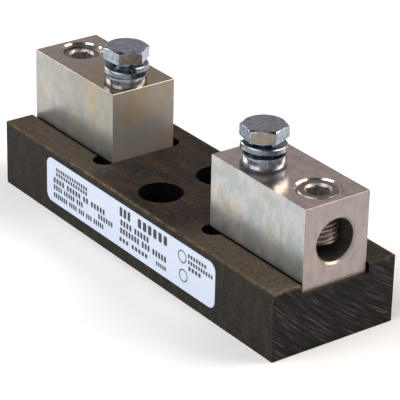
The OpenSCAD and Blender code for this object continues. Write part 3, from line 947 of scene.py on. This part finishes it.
def make_bolt(end):
    """Fuse bolt, with painted shade on the flat of its head that faces the camera: darker, browner zinc."""
    low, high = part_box(f"fuse_bolt_{end}")
    seat = low.z + BOLT_LENGTH
    bolt = bolt_head(f"fuse_bolt_{end}_steel", seat, high.z)
    combine(bolt, bolt_shank(low.z, seat), "UNION")
    bolt.data.transform(Matrix.Translation((ENDS[end] * BOLT_X, CONNECTOR_Y, 0))
                        @ Matrix.Rotation(BOLT_TURNS[end], 4, "Z"))
    finish_piece(bolt, f"bolt_{end}", ZINC, [f"fuse_bolt_{end}"])
    # Painted shade on the head's flat that faces the camera
    shaded_side = Vector((math.cos(SHADED_FLAT_FACING), math.sin(SHADED_FLAT_FACING), 0))
    paint(bolt, SHADED_FLAT_ZINC, lambda centre, normal: normal.dot(shaded_side) > SHADED_FLAT_NEARNESS
          and centre.z > seat + HEX_FACE)


def make_base_screw(end):
    """Pan head screw with a cross recess, threaded up into the connector."""
    node = f"base_screw_{end}"
    low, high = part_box(node)
    radius = (high.x - low.x) / 2
    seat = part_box(f"base_lock_washer_{end}")[0].z
    dome = [(radius * across, low.z + PAN_DOME * up) for across, up in PAN_OUTLINE]
    screw = turned(f"{node}_steel", [
        (0, low.z), *dome, (radius, seat - PAN_EDGE), (radius - PAN_EDGE, seat), (0, seat)])
    for turn in (0, TAU / 4):
        wing = block("wing", (-CROSS_REACH, -CROSS_HALF_WIDTH, low.z - REACH),
                     (CROSS_REACH, CROSS_HALF_WIDTH, low.z + CROSS_DEPTH))
        wing.data.transform(Matrix.Rotation(turn + CROSS_TURN, 4, "Z"))
        combine(screw, wing)
    combine(screw, threaded_rod("shank", BOLT_RADIUS, seat - REACH, high.z - TIP_GAP, BOLT_STEPS), "UNION")
    shift(screw, (ENDS[end] * BOLT_X, middle_of(node).y, 0))
    finish_piece(screw, "block", ZINC, [node])


# Washers

def make_lock_washer(node, body, cut_direction):
    """Spring washer coiled left-handed from square wire, its sheared ends apart unless squeezed flat."""
    low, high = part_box(node)
    middle = middle_of(node)
    rise = max(0, high.z - low.z - SPRING_THICKNESS)
    soft, inner, outer, thickness = SPRING_ROUND, SPRING_INNER, SPRING_OUTER, SPRING_THICKNESS
    section = [(inner + soft, 0), (outer - soft, 0), (outer, soft), (outer, thickness - soft),
               (outer - soft, thickness), (inner + soft, thickness), (inner, thickness - soft),
               (inner, soft), (inner + soft, 0)]
    coil = outline(f"{node}_steel", [(radius, 0, low.z + height) for radius, height in section])
    close_shape(coil)
    apply_modifier(coil, "SCREW", axis="Z", angle=-(TAU - SPRING_CUT), steps=ROUND_STEPS,
                   render_steps=ROUND_STEPS, screw_offset=rise, use_normal_calculate=True)
    edit_all(coil)
    bpy.ops.mesh.fill_holes(sides=0)
    bpy.ops.object.mode_set(mode="OBJECT")
    close_shape(coil)
    coil.data.transform(Matrix.Translation((middle.x, middle.y, 0))
                        @ Matrix.Rotation(math.radians(cut_direction) - SPRING_CUT / 2, 4, "Z"))
    finish_piece(coil, body, SPRING_ZINC_SHADED, [node])


def make_flat_washer(node, body):
    """Punched washer: rounded where the punch went in, sharp where it came out."""
    low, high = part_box(node)
    middle = middle_of(node)
    outer = (high.x - low.x) / 2
    inner = BOLT_RADIUS + WASHER_PLAY
    # The middle of a quarter round lies about this far in from both of its sides
    in_from_side = 0.3 * WASHER_ROUND
    ring = turned(f"{node}_steel", [
        (inner, low.z), (outer - WASHER_EDGE, low.z), (outer, low.z + WASHER_EDGE),
        (outer, high.z - WASHER_ROUND), (outer - in_from_side, high.z - in_from_side),
        (outer - WASHER_ROUND, high.z), (inner + WASHER_MOUTH, high.z), (inner, high.z - WASHER_MOUTH),
        (inner, low.z)], (middle.x, middle.y))
    finish_piece(ring, body, ZINC, [node])


# Label

def print_words(front, line):
    """The words of one line of print, each a row of equal blocks."""
    centre = middle_of("label")
    left, right, height, size, words = line
    pitch = (right - left) * MM / (sum(words) + WORD_GAP * (len(words) - 1))
    start = centre.x + left * MM
    height = centre.z + height * MM
    parts = []
    for count in words:
        glyph = block("glyph", (start, front, height - size / 2 * MM),
                      (start + LETTER_WIDTH * pitch, front + PRINT_DEPTH, height + size / 2 * MM))
        bevel_through(glyph, LETTER_CORNER * pitch, segments=2)
        apply_modifier(glyph, "ARRAY", count=count, use_relative_offset=False, use_constant_offset=True,
                       constant_offset_displace=(pitch, 0, 0))
        parts.append(glyph)
        start += (count + WORD_GAP) * pitch
    return parts


def print_ring(front, x, z):
    """Plain ring of ink."""
    centre = middle_of("label")
    ring = rod("ring", RING_OUTER, 0, PRINT_DEPTH)
    combine(ring, rod("ring_hole", RING_INNER, -REACH, REACH))
    place = (centre.x + x * MM, front + PRINT_DEPTH, centre.z + z * MM)
    ring.data.transform(Matrix.Translation(place) @ Matrix.Rotation(TAU / 4, 4, "X"))
    return ring


def make_print(front):
    """Blocks in lines and plain rings, joined to one thin layer of ink."""
    parts = [glyph for line in PRINT_LINES for glyph in print_words(front, line)]
    parts += [print_ring(front, x, z) for x, z in PRINT_RINGS]
    choose(parts[0])
    for part in parts:
        part.select_set(True)
    bpy.ops.object.join()
    parts[0].name = "label_print"
    finish_piece(parts[0], "block", INK, [])


def make_label():
    """Sheet with rounded corners and the print on it."""
    low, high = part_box("label")
    sheet = block("label_sheet", (low.x, low.y + PRINT_DEPTH, low.z), high)
    bevel_through(sheet, LABEL_CORNER, CORNER_STEPS)
    finish_piece(sheet, "block", PAPER, ["label"])
    make_print(low.y)


add_camera()
add_studio()
make_base()
make_label()
make_connectors()
for end in ENDS:
    make_base_screw(end)
make_clamp_screws()
for end in ENDS:
    make_bolt(end)
for end in ENDS:
    make_lock_washer(f"lock_washer_{end}", f"washers_{end}", SPRING_CUT_FACES[end])
for end in ENDS:
    make_flat_washer(f"flat_washer_{end}", f"washers_{end}")
    make_lock_washer(f"base_lock_washer_{end}", "block", BASE_SPRING_CUT_FACES)
    make_flat_washer(f"base_flat_washer_{end}", "block")
